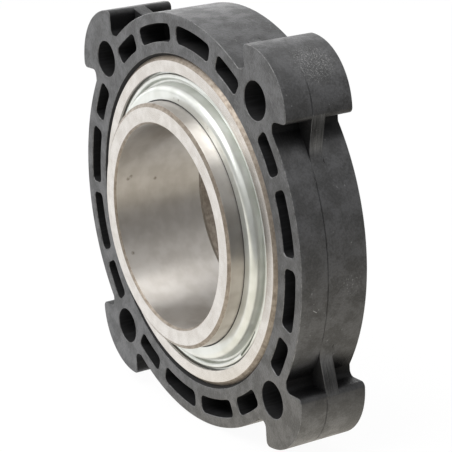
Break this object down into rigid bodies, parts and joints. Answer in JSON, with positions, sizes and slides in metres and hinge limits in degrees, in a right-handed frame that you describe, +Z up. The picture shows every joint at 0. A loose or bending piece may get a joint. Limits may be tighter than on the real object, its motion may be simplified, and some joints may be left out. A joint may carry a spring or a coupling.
{
  "type": "four-lug flange bearing",
  "caption": "Deep-groove ball bearing with an extended inner ring, held in a ribbed plastic housing with four rounded corner lugs for bolts.",
  "frame": {"origin": "on the shaft axis at the middle plane of the housing", "axes": "+Y along the shaft axis from the front to the rear, +Z up, lugs at 45 degrees to X and Z"},
  "size_m": [0.112, 0.0326, 0.112],
  "materials": {
    "housing_plastic": "moulded dark grey engineering plastic, satin",
    "bearing_steel": "ground faces and bore, brown unground chamfers",
    "ball_steel": "polished",
    "cage_steel": "pressed sheet",
    "zinc_sheet": "pressed sheet, zinc plated",
    "seal_rubber": "moulded rubber"
  },
  "bodies": {
    "housing": {"housing": "housing_plastic", "outer_ring": "bearing_steel", "front_shield": "zinc_sheet", "rear_shield": "zinc_sheet", "front_seal_lip": "seal_rubber", "rear_seal_lip": "seal_rubber"},
    "inner_ring": {"inner_ring": "bearing_steel"},
    "cage": {"cage_front_half": "cage_steel", "cage_rear_half": "cage_steel", "cage_rivets": "cage_steel"},
    "ball_01": {"ball_01": "ball_steel"},
    "ball_02": {"ball_02": "ball_steel"},
    "ball_03": {"ball_03": "ball_steel"},
    "ball_04": {"ball_04": "ball_steel"},
    "ball_05": {"ball_05": "ball_steel"},
    "ball_06": {"ball_06": "ball_steel"},
    "ball_07": {"ball_07": "ball_steel"},
    "ball_08": {"ball_08": "ball_steel"},
    "ball_09": {"ball_09": "ball_steel"},
    "ball_10": {"ball_10": "ball_steel"},
    "ball_11": {"ball_11": "ball_steel"},
    "ball_12": {"ball_12": "ball_steel"}
  },
  "joints": [
    {"name": "inner_ring_spin", "type": "hinge", "parent": "housing", "child": "inner_ring", "pos_m": [0, 0, 0], "axis": [0, 1, 0], "continuous": true},
    {"name": "cage_orbit", "type": "hinge", "parent": "housing", "child": "cage", "pos_m": [0, 0, 0], "axis": [0, 1, 0], "continuous": true},
    {"name": "ball_01_roll", "type": "hinge", "parent": "cage", "child": "ball_01", "pos_m": [0.03625, 0, 0], "axis": [0, 1, 0], "continuous": true},
    {"name": "ball_02_roll", "type": "hinge", "parent": "cage", "child": "ball_02", "pos_m": [0.03139, 0, -0.01812], "axis": [0, 1, 0], "continuous": true},
    {"name": "ball_03_roll", "type": "hinge", "parent": "cage", "child": "ball_03", "pos_m": [0.01812, 0, -0.03139], "axis": [0, 1, 0], "continuous": true},
    {"name": "ball_04_roll", "type": "hinge", "parent": "cage", "child": "ball_04", "pos_m": [0, 0, -0.03625], "axis": [0, 1, 0], "continuous": true},
    {"name": "ball_05_roll", "type": "hinge", "parent": "cage", "child": "ball_05", "pos_m": [-0.01812, 0, -0.03139], "axis": [0, 1, 0], "continuous": true},
    {"name": "ball_06_roll", "type": "hinge", "parent": "cage", "child": "ball_06", "pos_m": [-0.03139, 0, -0.01812], "axis": [0, 1, 0], "continuous": true},
    {"name": "ball_07_roll", "type": "hinge", "parent": "cage", "child": "ball_07", "pos_m": [-0.03625, 0, 0], "axis": [0, 1, 0], "continuous": true},
    {"name": "ball_08_roll", "type": "hinge", "parent": "cage", "child": "ball_08", "pos_m": [-0.03139, 0, 0.01812], "axis": [0, 1, 0], "continuous": true},
    {"name": "ball_09_roll", "type": "hinge", "parent": "cage", "child": "ball_09", "pos_m": [-0.01812, 0, 0.03139], "axis": [0, 1, 0], "continuous": true},
    {"name": "ball_10_roll", "type": "hinge", "parent": "cage", "child": "ball_10", "pos_m": [0, 0, 0.03625], "axis": [0, 1, 0], "continuous": true},
    {"name": "ball_11_roll", "type": "hinge", "parent": "cage", "child": "ball_11", "pos_m": [0.01812, 0, 0.03139], "axis": [0, 1, 0], "continuous": true},
    {"name": "ball_12_roll", "type": "hinge", "parent": "cage", "child": "ball_12", "pos_m": [0.03139, 0, 0.01812], "axis": [0, 1, 0], "continuous": true}
  ],
  "couplings": [
    {"joint": "cage_orbit", "follows": "inner_ring_spin", "ratio": 0.42345},
    {"joint": "ball_01_roll", "follows": "inner_ring_spin", "ratio": -3.1892},
    {"joint": "ball_02_roll", "follows": "inner_ring_spin", "ratio": -3.1892},
    {"joint": "ball_03_roll", "follows": "inner_ring_spin", "ratio": -3.1892},
    {"joint": "ball_04_roll", "follows": "inner_ring_spin", "ratio": -3.1892},
    {"joint": "ball_05_roll", "follows": "inner_ring_spin", "ratio": -3.1892},
    {"joint": "ball_06_roll", "follows": "inner_ring_spin", "ratio": -3.1892},
    {"joint": "ball_07_roll", "follows": "inner_ring_spin", "ratio": -3.1892},
    {"joint": "ball_08_roll", "follows": "inner_ring_spin", "ratio": -3.1892},
    {"joint": "ball_09_roll", "follows": "inner_ring_spin", "ratio": -3.1892},
    {"joint": "ball_10_roll", "follows": "inner_ring_spin", "ratio": -3.1892},
    {"joint": "ball_11_roll", "follows": "inner_ring_spin", "ratio": -3.1892},
    {"joint": "ball_12_roll", "follows": "inner_ring_spin", "ratio": -3.1892}
  ]
}
